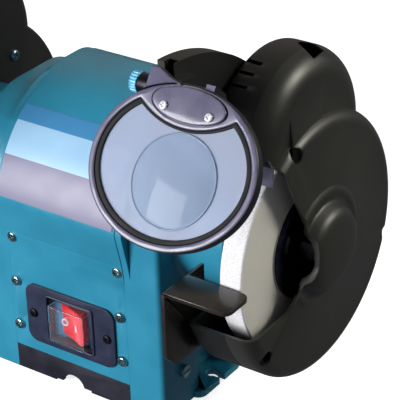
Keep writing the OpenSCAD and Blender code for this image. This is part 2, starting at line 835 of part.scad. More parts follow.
module shield_lens(s) {
    color([0.75, 0.8, 0.95, 0.4]) on_side(s) in_shield() {
        intersection() {
            along_y(-1, 1) oval(shield_a - 4.7, shield_b - 4.5);
            box([-60, -5, -60], [60, 5, 40]);
            difference() {
                box([-60, -5, -60], [60, 5, 40]);
                along_y(-6, 6) lens_top();
            }
        }
        // the right shield carries a round magnifier
        if (s > 0) translate([3.5, 0, -7]) rotate([90, 0, 0]) difference() {
            intersection() {
                translate([0, 0, -73.5]) sphere(r = 79.8, $fn = 128);
                cylinder(r = 29.5, h = 10, $fn = 96);
            }
        }
    }
}

module shield_screws(s) {
    color("white") on_side(s) in_shield() for (x = [-15.6, 15.6])
        screw_front(x, -4.6, 32.7, 2.6, 1.4, 1.6, 5);
}

// Knurled knob on the hinge bolt that clamps the shield
module shield_knob(s) {
    color("deepskyblue") on_side(s) translate([0, pivot[0], pivot[1]]) difference() {
        union() {
            rod_x(92, 100, 7.2);
            rod_x(100, shield_x - 33.2, 6.2);
            rod_x(110, shield_x + 16, 3);
        }
        for (a = [0:20:340]) rotate([a, 0, 0]) translate([0, 0, 7.6]) rod_x(91, 99, 0.8);
    }
}

motor_housing();
front_panel();
label_plate();
end_shield(1);  // end_shield_right
end_shield(-1);  // end_shield_left
base_plate();
rubber_feet();
panel_screws();
tie_bolts();
switch_plate();
switch_screws();
switch_body();
switch_rocker();
switch_cover();
capacitor();
terminal_block();
cable_gland();
stator_core();
stator_windings();
rotor_core();
rotor_end_rings();
rotor_shaft();
bearing_outer_rings();
bearing_inner_rings();
bearing_balls();
inner_flanges();
blotters();
wheel(1);  // wheel_right
wheel(-1);  // wheel_left
outer_flanges();
spindle_nuts();
guard_shell(1);  // guard_shell_right
guard_shell(-1);  // guard_shell_left
guard_cover(1);  // guard_cover_right
guard_cover(-1);  // guard_cover_left
guard_screws();
cover_screws();
spark_arrestor(1);  // spark_arrestor_right
spark_arrestor(-1);  // spark_arrestor_left
arrestor_screws();
tool_rest(1);  // tool_rest_right
tool_rest(-1);  // tool_rest_left
rest_bolts();
shield_bracket(1);  // shield_bracket_right
shield_bracket(-1);  // shield_bracket_left
bracket_screws();
shield_frame(1);  // shield_frame_right
shield_frame(-1);  // shield_frame_left
shield_lens(1);  // shield_lens_right
shield_lens(-1);  // shield_lens_left
shield_screws(1);  // shield_screws_right
shield_screws(-1);  // shield_screws_left
shield_knob(1);  // shield_knob_right
shield_knob(-1);  // shield_knob_left
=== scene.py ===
import math

import bmesh
import bpy
from mathutils import Matrix, Vector


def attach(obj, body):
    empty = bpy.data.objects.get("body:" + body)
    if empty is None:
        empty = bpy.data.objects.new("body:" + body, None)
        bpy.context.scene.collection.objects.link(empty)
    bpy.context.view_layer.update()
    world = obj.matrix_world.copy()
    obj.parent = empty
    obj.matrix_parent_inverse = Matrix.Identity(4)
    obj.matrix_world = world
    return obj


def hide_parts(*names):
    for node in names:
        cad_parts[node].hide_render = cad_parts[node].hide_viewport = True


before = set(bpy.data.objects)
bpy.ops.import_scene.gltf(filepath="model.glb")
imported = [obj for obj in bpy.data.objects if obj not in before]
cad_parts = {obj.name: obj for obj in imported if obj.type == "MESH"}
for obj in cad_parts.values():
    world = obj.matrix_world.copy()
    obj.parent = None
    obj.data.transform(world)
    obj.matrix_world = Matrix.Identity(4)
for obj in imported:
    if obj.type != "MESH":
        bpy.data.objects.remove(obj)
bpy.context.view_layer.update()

# ---- Where the grinder is seen from ----
# A long lens in front, to the right and above, rolled a little to the left.
bpy.ops.object.select_all(action="DESELECT")
lens = bpy.data.cameras.new("lens")
lens.sensor_width = 36
lens.lens = 161.75
viewer = bpy.data.objects.new("viewer", lens)
bpy.context.collection.objects.link(viewer)
ahead = Vector((-0.5113, 0.7116, -0.4818)).normalized()
across = ahead.cross(Vector((0, 0, 1))).normalized()
upward = across.cross(ahead)
roll = math.radians(1.9)
to_right = across * math.cos(roll) - upward * math.sin(roll)
to_top = across * math.sin(roll) + upward * math.cos(roll)
turn = Matrix((to_right, to_top, -ahead)).transposed().to_4x4()
viewer.matrix_world = Matrix.Translation((0.680, -0.849, 0.716)) @ turn
bpy.context.scene.camera = viewer
bpy.context.scene.view_settings.view_transform = "Standard"

# ---- The bench top ----
# A plain white board under and round the machine. It is bare and matt.
bpy.ops.mesh.primitive_plane_add(size=8)
board = bpy.context.active_object
board.name = "board"
board_white = bpy.data.materials.new("board_white")
board_white.use_nodes = True
shader = board_white.node_tree.nodes["Principled BSDF"]
shader.inputs["Base Color"].default_value = (0.9, 0.9, 0.9, 1)
shader.inputs["Roughness"].default_value = 0.9
shader.inputs["Emission Color"].default_value = (1, 1, 1, 1)
shader.inputs["Emission Strength"].default_value = 0.75
board.data.materials.append(board_white)
board.visible_diffuse = False
board.visible_glossy = False


# ---- Studio light ----
# A broad soft box in front and to the left does most of the work. Weak ones stand overhead, behind
# on both sides and close to the right guard's top, under a dim even sky.
def soft_box(name, place, aim, width, height, power, tint, spread=180):
    lamp = bpy.data.lights.new(name, "AREA")
    lamp.shape = "RECTANGLE"
    lamp.size = width
    lamp.size_y = height
    lamp.energy = power
    lamp.color = tint
    lamp.spread = math.radians(spread)
    holder = bpy.data.objects.new(name, lamp)
    bpy.context.collection.objects.link(holder)
    holder.location = place
    holder.rotation_euler = (Vector(aim) - Vector(place)).to_track_quat("-Z", "Y").to_euler()


soft_box("front_box", (-0.75, -1.7, 0.55), (0, -0.05, 0.12), 1.1, 1.0, 56, (1, 1, 1))
soft_box("top_box", (-0.1, 0.5, 1.5), (0, 0, 0.1), 1.2, 0.9, 1.2, (1, 0.95, 0.84))
soft_box("rear_box", (1.1, 1.2, 1.0), (0.16, 0, 0.18), 1.1, 0.9, 4.5, (1, 0.96, 0.86))
soft_box("back_glow", (-1.0, 1.6, 1.1), (0.1, -0.05, 0.14), 2, 1.5, 2.5, (1, 0.8, 0.58))
soft_box("guard_box", (0.8, 0.45, 0.75), (0.17, 0.04, 0.27), 0.6, 0.6, 0.7, (1, 0.98, 0.84), 30)
sky = bpy.data.worlds.new("sky")
bpy.context.scene.world = sky
sky.use_nodes = True
sky.node_tree.nodes["Background"].inputs["Color"].default_value = (0.9, 0.93, 1, 1)
sky.node_tree.nodes["Background"].inputs["Strength"].default_value = 0.14


# ---- Motor housing ----
# One sheet of steel bent over the motor: a sloping round front, a flat top and a straight back,
# open in front for the panel and below for the base plate. It is painted teal.
# the planes and arcs that the housing, its castings and the panel share, in millimetres
rear_y, front_y, floor_z, seam_x = 66, -60, 0.5, 49.6
brow_y, brow_z, brow_r = 16, 123, 86
corner_r = 33
spindle_z = 135


def tint(red, green, blue):
    """A colour given in the usual 0 to 255 steps."""
    return tuple(((c / 255 + 0.055) / 1.055) ** 2.4 if c > 10 else c / 3294.6
                 for c in (red, green, blue)) + (1,)


def coating(name, pale, deep, cloud=30, rough=(0.3, 0.42), peel=600, depth=0.15, metal=0.0, coat=0.0):
    """A finish whose shade and gloss drift over the surface, with a fine texture in its skin."""
    made = bpy.data.materials.new(name)
    made.use_nodes = True
    tree = made.node_tree
    shader = tree.nodes["Principled BSDF"]
    shader.inputs["Metallic"].default_value = metal
    shader.inputs["Coat Weight"].default_value = coat
    place = tree.nodes.new("ShaderNodeTexCoord")
    drift = tree.nodes.new("ShaderNodeTexNoise")
    drift.inputs["Scale"].default_value = cloud
    drift.inputs["Detail"].default_value = 4
    shades = tree.nodes.new("ShaderNodeValToRGB")
    shades.color_ramp.elements[0].position = 0.35
    shades.color_ramp.elements[1].position = 0.65
    shades.color_ramp.elements[0].color = deep
    shades.color_ramp.elements[1].color = pale
    gloss = tree.nodes.new("ShaderNodeMapRange")
    gloss.inputs["From Min"].default_value = 0.3
    gloss.inputs["From Max"].default_value = 0.7
    gloss.inputs["To Min"].default_value = rough[0]
    gloss.inputs["To Max"].default_value = rough[1]
    skin = tree.nodes.new("ShaderNodeTexNoise")
    skin.inputs["Scale"].default_value = peel
    skin.inputs["Detail"].default_value = 2
    relief = tree.nodes.new("ShaderNodeBump")
    relief.inputs["Strength"].default_value = depth
    relief.inputs["Distance"].default_value = 0.0003
    link = tree.links.new
    link(place.outputs["Object"], drift.inputs["Vector"])
    link(place.outputs["Object"], skin.inputs["Vector"])
    link(drift.outputs["Fac"], shades.inputs["Fac"])
    link(drift.outputs["Fac"], gloss.inputs["Value"])
    link(shades.outputs["Color"], shader.inputs["Base Color"])
    link(gloss.outputs["Result"], shader.inputs["Roughness"])
    link(skin.outputs["Fac"], relief.inputs["Height"])
    link(relief.outputs["Normal"], shader.inputs["Normal"])
    return made


def block(name, low, high):
    """A block between two corners, in millimetres."""
    low, high = Vector(low) / 1000, Vector(high) / 1000
    bpy.ops.mesh.primitive_cube_add(size=1, location=(low + high) / 2, scale=high - low)
    made = bpy.context.active_object
    made.name = name
    bpy.ops.object.transform_apply(location=True, rotation=True, scale=True)
    return made


def pick(piece, kind, wanted):
    """Opens a piece and picks the corners, edges or faces whose middle, in millimetres, is wanted."""
    bpy.ops.object.select_all(action="DESELECT")
    piece.select_set(True)
    bpy.context.view_layer.objects.active = piece
    bpy.ops.object.mode_set(mode="EDIT")
    bpy.ops.mesh.select_mode(type=kind)
    bpy.ops.mesh.select_all(action="DESELECT")
    shape = bmesh.from_edit_mesh(piece.data)
    for part in {"VERT": shape.verts, "EDGE": shape.edges, "FACE": shape.faces}[kind]:
        corners = [part] if kind == "VERT" else part.verts
        middle = sum((v.co for v in corners), Vector()) / len(corners) * 1000
        if wanted(part, middle):
            part.select_set(True)
    shape.select_flush_mode()
    bmesh.update_edit_mesh(piece.data)


def close():
    """Leaves a piece that pick opened."""
    bpy.ops.object.mode_set(mode="OBJECT")


def round_edges(piece, wanted, width, steps):
    """Rounds the wanted edges of a piece."""
    pick(piece, "EDGE", wanted)
    bpy.ops.mesh.bevel(offset=width / 1000, segments=steps, affect="EDGES", clamp_overlap=False)
    close()


def settle(piece, change):
    """Applies a modifier to a piece for good."""
    bpy.ops.object.select_all(action="DESELECT")
    piece.select_set(True)
    bpy.context.view_layer.objects.active = piece
    bpy.ops.object.modifier_apply(modifier=change.name)


def carve(piece, tool, how="DIFFERENCE"):
    """Cuts a piece with a tool, joins the two or keeps what they share, and puts the tool away."""
    change = piece.modifiers.new("carve", "BOOLEAN")
    change.object = tool
    change.operation = how
    change.solver = "EXACT"
    settle(piece, change)
    bpy.data.objects.remove(tool)
    return piece


def soften(piece, width=0.5, steps=2, angle=32):
    """Breaks the sharp edges of a piece and shades the rest smooth."""
    change = piece.modifiers.new("break", "BEVEL")
    change.width = width / 1000
    change.segments = steps
    change.limit_method = "ANGLE"
    change.angle_limit = math.radians(angle)
    change.use_clamp_overlap = True
    change.harden_normals = False
    settle(piece, change)
    bpy.ops.object.shade_smooth_by_angle(angle=math.radians(40))
    return piece


def dress(piece, finish, body, slot, *stands_for):
    """Gives a piece its finish, the body it moves with and the CAD nodes it stands for."""
    piece.data.materials.clear()
    piece.data.materials.append(finish)
    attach(piece, body)
    if stands_for:
        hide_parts(*stands_for)


def mirrored(piece, name):
    """A copy of a right-hand piece for the left side."""
    twin = piece.copy()
    twin.data = piece.data.copy()
    twin.name = name
    bpy.context.collection.objects.link(twin)
    twin.data.transform(Matrix.Scale(-1, 4, (1, 0, 0)))
    twin.data.flip_normals()
    return twin


def prism(name, outline, low, high, along="X"):
    """A flat outline in millimetres pushed out to a solid along X, Y or Z."""
    bpy.ops.mesh.primitive_circle_add(vertices=len(outline), radius=0.01, fill_type="NGON")
    made = bpy.context.active_object
    made.name = name
    turnings = {"X": lambda a, b: (low, a, b), "Y": lambda a, b: (a, low, b),
                "Z": lambda a, b: (a, b, low)}
    for corner, (a, b) in zip(made.data.vertices, outline):
        corner.co = Vector(turnings[along](a, b)) / 1000
    bpy.ops.object.mode_set(mode="EDIT")
    bpy.ops.mesh.select_all(action="SELECT")
    ways = {"X": (1, 0, 0), "Y": (0, 1, 0), "Z": (0, 0, 1)}
    step = tuple(c * (high - low) / 1000 for c in ways[along])
    bpy.ops.mesh.extrude_region_move(TRANSFORM_OT_translate={"value": step})
    bpy.ops.mesh.select_all(action="SELECT")
    bpy.ops.mesh.normals_make_consistent(inside=False)
    bpy.ops.object.mode_set(mode="OBJECT")
    return made


def bow(y, z, r, start, end, steps):
    """Points of an arc round (y, z); 0 points to the back, 90 up."""
    turns = [math.radians(start + (end - start) * i / steps) for i in range(steps + 1)]
    return [(y + r * math.cos(a), z + r * math.sin(a)) for a in turns]


# the curve from the round front into the flat panel: the housing's share, then the panel's
toe_top = 146
toe = [(-67.5, 143.5), (-67.8, 141.5), (-67.75, 139.5), (-67.3, 137), (-66.6, 134), (-65.9, 131),
       (-65.15, 128),
       (-64.4, 124.7), (-63.6, 121.5), (-62.95, 118.6), (-62.3, 115.5), (-61.8, 113)]
toe_end = [(-61.8, 113), (-61.3, 110), (-60.85, 107), (-60.5, 104), (-60.27, 101), (-60.12, 98),
           (-60.03, 95), (-60, 92)]


def arched(name, x0, x1, inset):
    """The housing's outline as a solid, moved in by inset: flat back, big round front, tucked-in toe."""
    brow_end = 180 - math.degrees(math.asin((toe_top - brow_z) / (brow_r - inset)))
    line = [(rear_y - inset, floor_z + inset)]
    line += bow(rear_y - corner_r, brow_z + brow_r - corner_r, corner_r - inset, 0, 90, 14)
    line += bow(brow_y, brow_z, brow_r - inset, 90, brow_end, 40)
    line += [(y + inset, z) for y, z in toe + toe_end[1:]]
    return prism(name, line + [(front_y + inset, floor_z + inset)], x0, x1)


def shouldered(name, x0, x1, inset):
    """An end casting's outline as a solid, moved in by inset."""
    made = block(name, (x0, front_y + inset, floor_z + inset), (x1, -front_y - inset, 199 - inset))
    round_edges(made, lambda e, m: m.y < -55 + inset and m.z > 190 - inset, 55 - inset, 28)
    round_edges(made, lambda e, m: m.y > 55 - inset and m.z > 190 - inset, corner_r - inset, 16)
    return made


teal = coating("teal_enamel", tint(40, 131, 161), tint(35, 122, 151), rough=(0.28, 0.4), depth=0.06,
               coat=0.1)
housing = arched("housing_sheet", -seam_x, seam_x, 0)
carve(housing, arched("hollow", -46.4, 46.4, 3.2))
carve(housing, block("front_gap", (-60, -90, -5), (60, -56.8, 113)))
carve(housing, block("floor_gap", (-60, -57, -5), (60, 62.8, 10)))
carve(housing, shouldered("end_gap", -60, 60, 3.6))
soften(housing, 0.5, 3)
dress(housing, teal, "housing", "teal_paint", "motor_housing")


# ---- End castings ----
# A cast aluminium box closes each end of the housing, runs out into a round neck for the guard and
# stands on a foot. Its flange follows the housing's outline. They are painted with the housing.
def turned(name, outline, z=spindle_z, sides=96):
    """A solid turned about a line along X at height z; its outline is radius and X, end to end."""
    radius, along = outline[0]
    bpy.ops.mesh.primitive_plane_add(size=0.0001, location=(along / 1000, 0, (z + radius) / 1000))
    made = bpy.context.active_object
    made.name = name
    bpy.ops.object.transform_apply(location=True, rotation=True, scale=True)
    bpy.ops.object.mode_set(mode="EDIT")
    bpy.ops.mesh.select_mode(type="VERT")
    bpy.ops.mesh.select_all(action="SELECT")
    bpy.ops.mesh.merge(type="CENTER")
    for wide, out in outline[1:]:
        step = ((out - along) / 1000, 0, (wide - radius) / 1000)
        bpy.ops.mesh.extrude_vertices_move(TRANSFORM_OT_translate={"value": step})
        radius, along = wide, out
    bpy.ops.mesh.select_all(action="SELECT")
    bpy.ops.mesh.spin(steps=sides, angle=math.tau, center=(0, 0, z / 1000), axis=(1, 0, 0))
    bpy.ops.mesh.select_all(action="SELECT")
    bpy.ops.mesh.remove_doubles(threshold=0.000005)
    bpy.ops.mesh.normals_make_consistent(inside=False)
    bpy.ops.object.mode_set(mode="OBJECT")
    return made


def curve(radius, along, r, start, end, steps=6):
    """Points of an arc for a turned outline; 0 points outwards, 90 along X."""
    turns = [math.radians(start + (end - start) * i / steps) for i in range(steps + 1)]
    return [(radius + r * math.cos(a), along + r * math.sin(a)) for a in turns]


def rod(name, x0, x1, r, y=0, z=spindle_z, sides=48):
    """A rod along X."""
    place = ((x0 + x1) / 2000, y / 1000, z / 1000)
    bpy.ops.mesh.primitive_cylinder_add(vertices=sides, radius=r / 1000, depth=(x1 - x0) / 1000,
                                        location=place, rotation=(0, math.pi / 2, 0))
    made = bpy.context.active_object
    made.name = name
    bpy.ops.object.transform_apply(location=True, rotation=True, scale=True)
    return made


casting = shouldered("end_casting_right", seam_x, 78, 0)
round_edges(casting, lambda e, m: m.x > 77.9 and m.z > 1, 4, 5)
carve(casting, arched("flange", seam_x, 54.6, 0.5), "UNION")
neck_line = [(0, 75), (49, 75)] + curve(49, 83, 5, 270, 180, 5) + [(44, 117), (43.2, 117.8), (0, 117.8)]
carve(casting, turned("neck", neck_line), "UNION")
foot = block("foot", (60, -26, 0.5), (84, 26, 5.5))
round_edges(foot, lambda e, m: m.x > 83.9 and abs(m.y) > 25.9, 7, 6)
carve(casting, foot, "UNION")
carve(casting, shouldered("hollow", 45, 74.8, 3.2))
carve(casting, turned("bore", [(0, 70), (40.5, 70), (40.5, 114), (22, 114), (22, 97), (0, 97)]))
carve(casting, turned("seat", [(0, 96), (17.5, 96), (17.5, 110.2), (10.6, 110.2), (10.6, 130),
                               (0, 130)]))
walls = block("pocket_walls", (60, -23, 0.6), (75, 23, 38))
carve(casting, walls, "UNION")
pocket = block("pocket", (63, -20, 5.5), (90, 20, 35))
round_edges(pocket, lambda e, m: abs(m.y) > 19.9 and 10 < m.z < 30, 5, 5)
carve(casting, pocket)
bpy.ops.mesh.primitive_cylinder_add(vertices=48, radius=0.0045, depth=0.02, location=(0.075, 0, 0.001))
carve(casting, bpy.context.active_object)
carve(casting, block("mouth", (75, -3, -5), (95, 3, 7)))
tie_bolt_places = ((-38, 30), (38, 30), (-28, 186), (38, 185))
for y, z in tie_bolt_places:
    carve(casting, rod("tie_hole", 40, 90, 2.6, y, z))
thread_circle = 33
for turn_by in (30, 150, 270):
    a = math.radians(turn_by)
    carve(casting, rod("thread", 108, 125, 2.1, thread_circle * math.cos(a),
                       spindle_z + thread_circle * math.sin(a)))
soften(casting, 0.6, 2)
dress(casting, teal, "housing", "teal_paint", "end_shield_right")
dress(mirrored(casting, "end_casting_left"), teal, "housing", "teal_paint", "end_shield_left")


# ---- Front panel and its name film ----
# A steel panel closes the housing below its round front, with an opening for the switch. Six pan head
# screws hold it. A printed film of three plain colour bands is stuck to the round front above it.
def rod_y(name, y0, y1, r, x, z, sides=40):
    """A rod along Y."""
    place = (x / 1000, (y0 + y1) / 2000, z / 1000)
    bpy.ops.mesh.primitive_cylinder_add(vertices=sides, radius=r / 1000, depth=(y1 - y0) / 1000,
                                        location=place, rotation=(math.pi / 2, 0, 0))
    made = bpy.context.active_object
    made.name = name
    bpy.ops.object.transform_apply(location=True, rotation=True, scale=True)
    return made


def window(name, low, high, r):
    """A block with its four edges along Y rounded."""
    made = block(name, low, high)
    round_edges(made, lambda e, m: abs(m.y - (low[1] + high[1]) / 2) < 0.01
                and min(abs(m.x - low[0]), abs(m.x - high[0])) < 0.01
                and min(abs(m.z - low[2]), abs(m.z - high[2])) < 0.01, r, 8)
    return made


panel = block("front_cover", (-49.5, -60, 20), (49.5, -57, 113))
carve(panel, window("opening", (-17, -70, 35.5), (21, -50, 69.5), 2))
for x in (-44.8, 44.8):
    for z in (38, 73, 108):
        carve(panel, rod_y("screw_hole", -70, -50, 2.1, x, z))
for x in (-29.8, 33.8):
    carve(panel, rod_y("screw_hole", -70, -50, 1.9, x, 52.5))
carve(panel, prism("toe_end", toe_end[::-1] + [(-58, 113), (-58, 92)], -49.5, 49.5), "UNION")
soften(panel, 0.3, 2)
dress(panel, teal, "housing", "teal_paint", "front_panel")


def paint(finish, *nodes):
    """Gives CAD nodes that stay as they are their finish."""
    for node in nodes:
        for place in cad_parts[node].material_slots:
            place.material = finish


# zinc plating's own bluish grey with a teal cast that is a painted reflection of the teal housing
zinc_with_teal_reflection = coating("zinc_plate", tint(170, 200, 208), tint(110, 145, 155), cloud=160, rough=(0.16, 0.3),
               metal=1.0)
paint(zinc_with_teal_reflection, "panel_screws", "bracket_screws", "arrestor_screws", "guard_screws", "tie_bolts")

film = coating("band_film", tint(246, 244, 246), tint(232, 230, 234), cloud=60, rough=(0.32, 0.4),
               depth=0.02)
tree = film.node_tree
height = tree.nodes.new("ShaderNodeSeparateXYZ")
bands = tree.nodes.new("ShaderNodeValToRGB")
bands.color_ramp.interpolation = "CONSTANT"
scale_up = tree.nodes.new("ShaderNodeMapRange")
film_low, film_high = 0.143, 0.1955
scale_up.inputs["From Min"].default_value = film_low
scale_up.inputs["From Max"].default_value = film_high
bands.color_ramp.elements[0].color = tint(104, 102, 134)
bands.color_ramp.elements[1].position = 0.857
bands.color_ramp.elements[1].color = tint(62, 130, 178)
middle = bands.color_ramp.elements.new(0.505)
middle.color = tint(152, 194, 225)
blend = tree.nodes.new("ShaderNodeMix")
blend.data_type = "RGBA"
blend.blend_type = "MULTIPLY"
blend.inputs["Factor"].default_value = 0.35
place = next(n for n in tree.nodes if n.type == "TEX_COORD")
shader = tree.nodes["Principled BSDF"]
soft = shader.inputs["Base Color"].links[0].from_socket
tree.links.new(place.outputs["Object"], height.inputs["Vector"])
tree.links.new(height.outputs["Z"], scale_up.inputs["Value"])
tree.links.new(scale_up.outputs["Result"], bands.inputs["Fac"])
tree.links.new(bands.outputs["Color"], blend.inputs["A"])
tree.links.new(soft, blend.inputs["B"])
tree.links.new(blend.outputs["Result"], shader.inputs["Base Color"])
paint(film, "label_plate")

# ---- Base plate and feet ----
# A folded steel plate, painted black, closes the machine below, with a skirt and an arch in front.
# Four rubber buttons are pushed into it.
black = coating("black_enamel", tint(34, 34, 48), tint(22, 22, 34), cloud=40, rough=(0.3, 0.45),
                depth=0.1)
skirt = block("base_tray", (-49.5, -60, 0.5), (49.5, -57, 19.8))
carve(skirt, block("floor", (-49.5, -60, 4), (49.5, 62.6, 7)), "UNION")
carve(skirt, rod_y("arch", -70, -50, 9.5, -0.5, 0, 64))
carve(skirt, block("low_slot", (-16, -70, -5), (15, -50, 2)))
for x in (-36, 36):
    for y in (-44, 44):
        bpy.ops.mesh.primitive_cylinder_add(vertices=32, radius=0.0026, depth=0.02,
                                            location=(x / 1000, y / 1000, 0.006))
        carve(skirt, bpy.context.active_object)
soften(skirt, 0.6, 3)
dress(skirt, black, "housing", "black_paint", "base_plate")
rubber = coating("foot_rubber", tint(30, 30, 31), tint(20, 20, 21), cloud=90, rough=(0.7, 0.85),
                 peel=1500, depth=0.4)
paint(rubber, "rubber_feet")

# ---- Switch ----
# A moulded plate with a deep well sits in the panel on two black screws. A red rocker tips about an
# upright pin in the well, under a clear soft cover that keeps grinding dust out.
plastic = coating("switch_plastic", tint(36, 42, 66), tint(30, 35, 57), cloud=90, rough=(0.32, 0.42),
                  peel=2200, depth=0.2)
plate = window("switch_surround", (-36, -62, 29.5), (40, -60, 75.5), 8)
carve(plate, window("well_opening", (-17.5, -70, 35), (21.5, -50, 70), 2))
for x in (-29.8, 33.8):
    carve(plate, rod_y("screw_hole", -70, -50, 1.9, x, 52.5))
soften(plate, 0.7, 3)
dress(plate, plastic, "housing", "black_plastic", "switch_plate")
pitch = coating("well_plastic", tint(20, 20, 26), tint(12, 12, 17), cloud=90, rough=(0.25, 0.4),
                peel=2200, depth=0.2)
paint(pitch, "switch_body")
dark_steel = coating("blacked_steel", tint(40, 38, 44), tint(24, 22, 30), cloud=160, rough=(0.28, 0.42),
                     metal=0.8)
paint(dark_steel, "switch_screws", "cover_screws", "rest_bolts")

lip = window("well_rim", (-18.6, -63.1, 33.9), (22.6, -60.5, 71.1), 3)
carve(lip, window("inside", (-17, -70, 35.5), (21, -50, 69.5), 2))
soften(lip, 0.6, 3)
dress(lip, plastic, "housing", "black_plastic")

rocker_red = coating("rocker_red", tint(244, 40, 46), tint(230, 24, 34), cloud=80, rough=(0.2, 0.3),
                     depth=0.03, coat=0.5)
rocker_line = [(-7, -49), (13.4, -49), (14, -63.4), (12, -64.2), (3, -60.4), (-9, -56.5)]
rocker = prism("rocker_key", rocker_line, 40.5, 64.5, "Z")
bpy.ops.mesh.primitive_cylinder_add(vertices=32, radius=0.00155, depth=0.06,
                                    location=(0.003, -0.055, 0.0525))
carve(rocker, bpy.context.active_object)
soften(rocker, 0.9, 3)
dress(rocker, rocker_red, "rocker", "red_plastic", "switch_rocker")

white_print = coating("white_print", tint(240, 238, 236), tint(226, 224, 222), cloud=200,
                      rough=(0.4, 0.5), depth=0.02)
below_face = [(-12, -52), (-12, -55.75), (-9, -56.7), (3, -60.6), (12, -64.4), (12, -52)]
off_mark = rod_y("off_mark", -60.6, -55, 2.7, -3.6, 52.5)
carve(off_mark, rod_y("off_gap", -66, -50, 1.9, -3.6, 52.5))
carve(off_mark, prism("face_below", below_face, 40, 65, "Z"))
dress(off_mark, white_print, "rocker", "red_plastic")
on_mark = window("on_mark", (7.2, -63.2, 50), (8.2, -58, 55), 0.3)
carve(on_mark, prism("face_below", below_face, 40, 65, "Z"))
dress(on_mark, white_print, "rocker", "red_plastic")


def clear(name, shade, rough, through, ior=1.45):
    """A clear moulding: smooth, slightly uneven in its gloss."""
    made = coating(name, shade, shade, cloud=50, rough=rough, depth=0.02)
    shader = made.node_tree.nodes["Principled BSDF"]
    shader.inputs["Transmission Weight"].default_value = through
    shader.inputs["IOR"].default_value = ior
    return made


boot_clear = clear("boot_clear", tint(240, 232, 240), (0.02, 0.06), 0.98, 1.22)
boot = window("dust_cover", (-12.6, -68, 38.1), (18.2, -55, 66.9), 1.5)
round_edges(boot, lambda e, m: m.y < -67.9, 1.2, 3)
carve(boot, block("inside", (-11.5, -67, 39.2), (17.1, -50, 65.8)))
bpy.ops.object.shade_smooth_by_angle(angle=math.radians(40))
dress(boot, boot_clear, "housing", "clear_boot", "switch_cover")

# ---- Electrics and motor inside ----
# The run capacitor, the terminal block and the cable gland are wired under a laminated stator with
# copper windings. The rotor turns in it on two ball bearings. All of it is bought in.
paint(coating("capacitor_can", tint(205, 205, 200), tint(190, 190, 186), rough=(0.35, 0.5)), "capacitor")
paint(coating("ivory_block", tint(232, 224, 200), tint(220, 210, 184), rough=(0.4, 0.5)),
      "terminal_block")
paint(pitch, "cable_gland")
laminations = coating("laminations", tint(120, 122, 126), tint(84, 86, 92), cloud=500,
                      rough=(0.35, 0.5), metal=0.9)
paint(laminations, "stator_core", "rotor_core")
copper = coating("enamelled_copper", tint(196, 104, 52), tint(150, 70, 32), cloud=700,
                 rough=(0.3, 0.45), metal=0.9, peel=1800, depth=0.8)
paint(copper, "stator_windings")
aluminium = coating("cast_aluminium", tint(200, 202, 204), tint(170, 172, 176), cloud=140,
                    rough=(0.4, 0.55), metal=1.0, depth=0.5)
paint(aluminium, "rotor_end_rings")
ground = coating("ground_steel", tint(214, 215, 216), tint(186, 188, 190), cloud=260,
                 rough=(0.12, 0.22), metal=1.0, depth=0.05)
paint(ground, "rotor_shaft", "bearing_outer_rings", "bearing_inner_rings", "bearing_balls",
      "spindle_nuts")

# ---- Grinding wheels ----
# Two pressed wheels of bonded grit, white on the right and brown on the left, each squeezed between
# two steel flanges with paper blotters by the nut on the spindle's end.
def grit(name, lit_rim, side, dusk):
    """Bonded grit with pits and grains. The rim keeps the grain colour and the sides take the darker side
    colour: painted light and shade, with the rim lit from the front and the sides turned away.
    """
    made = coating(name, lit_rim, dusk, cloud=900, rough=(0.85, 0.95), peel=2600, depth=1.0)
    tree = made.node_tree
    shader = tree.nodes["Principled BSDF"]
    place = next(n for n in tree.nodes if n.type == "TEX_COORD")
    centre = tree.nodes.new("ShaderNodeMapping")
    centre.inputs["Location"].default_value = (0, 0, -spindle_z / 1000)
    flat = tree.nodes.new("ShaderNodeMapping")
    flat.inputs["Scale"].default_value = (0, 1, 1)
    reach = tree.nodes.new("ShaderNodeVectorMath")
    reach.operation = "LENGTH"
    # from 73.3 mm out, the lit rim keeps the grain colour; nearer the axis the sides take the darker side
    # colour as painted shade
    lit_rim_mask = tree.nodes.new("ShaderNodeMapRange")
    lit_rim_mask.inputs["From Min"].default_value = 0.0733
    lit_rim_mask.inputs["From Max"].default_value = 0.0742
    mix = tree.nodes.new("ShaderNodeMix")
    mix.data_type = "RGBA"
    mix.inputs["A"].default_value = side
    grains = shader.inputs["Base Color"].links[0].from_socket
    tree.links.new(place.outputs["Object"], centre.inputs["Vector"])
    tree.links.new(centre.outputs["Vector"], flat.inputs["Vector"])
    tree.links.new(flat.outputs["Vector"], reach.inputs[0])
    tree.links.new(reach.outputs["Value"], lit_rim_mask.inputs["Value"])
    tree.links.new(lit_rim_mask.outputs["Result"], mix.inputs["Factor"])
    tree.links.new(grains, mix.inputs["B"])
    shade = tree.nodes.new("ShaderNodeMix")
    shade.data_type = "RGBA"
    shade.blend_type = "MULTIPLY"
    shade.inputs["Factor"].default_value = 0.3
    tree.links.new(mix.outputs["Result"], shade.inputs["A"])
    tree.links.new(grains, shade.inputs["B"])
    tree.links.new(shade.outputs["Result"], shader.inputs["Base Color"])
    return made


# rim colour, then the side colour (painted shade, darker than the rim), then the drifting deeper tone
paint(grit("white_grit", tint(240, 241, 248), tint(214, 211, 206), tint(222, 219, 217)), "wheel_right")
paint(grit("brown_grit", tint(150, 126, 112), tint(128, 108, 96), tint(112, 92, 82)), "wheel_left")
paint(coating("blotter_card", tint(214, 206, 184), tint(198, 190, 168), rough=(0.8, 0.9), peel=1600,
              depth=0.5), "blotters")
flange_steel = coating("flange_steel", tint(36, 38, 60), tint(18, 20, 36), cloud=120,
                       rough=(0.16, 0.26), metal=0.85)
paint(flange_steel, "inner_flanges", "outer_flanges")


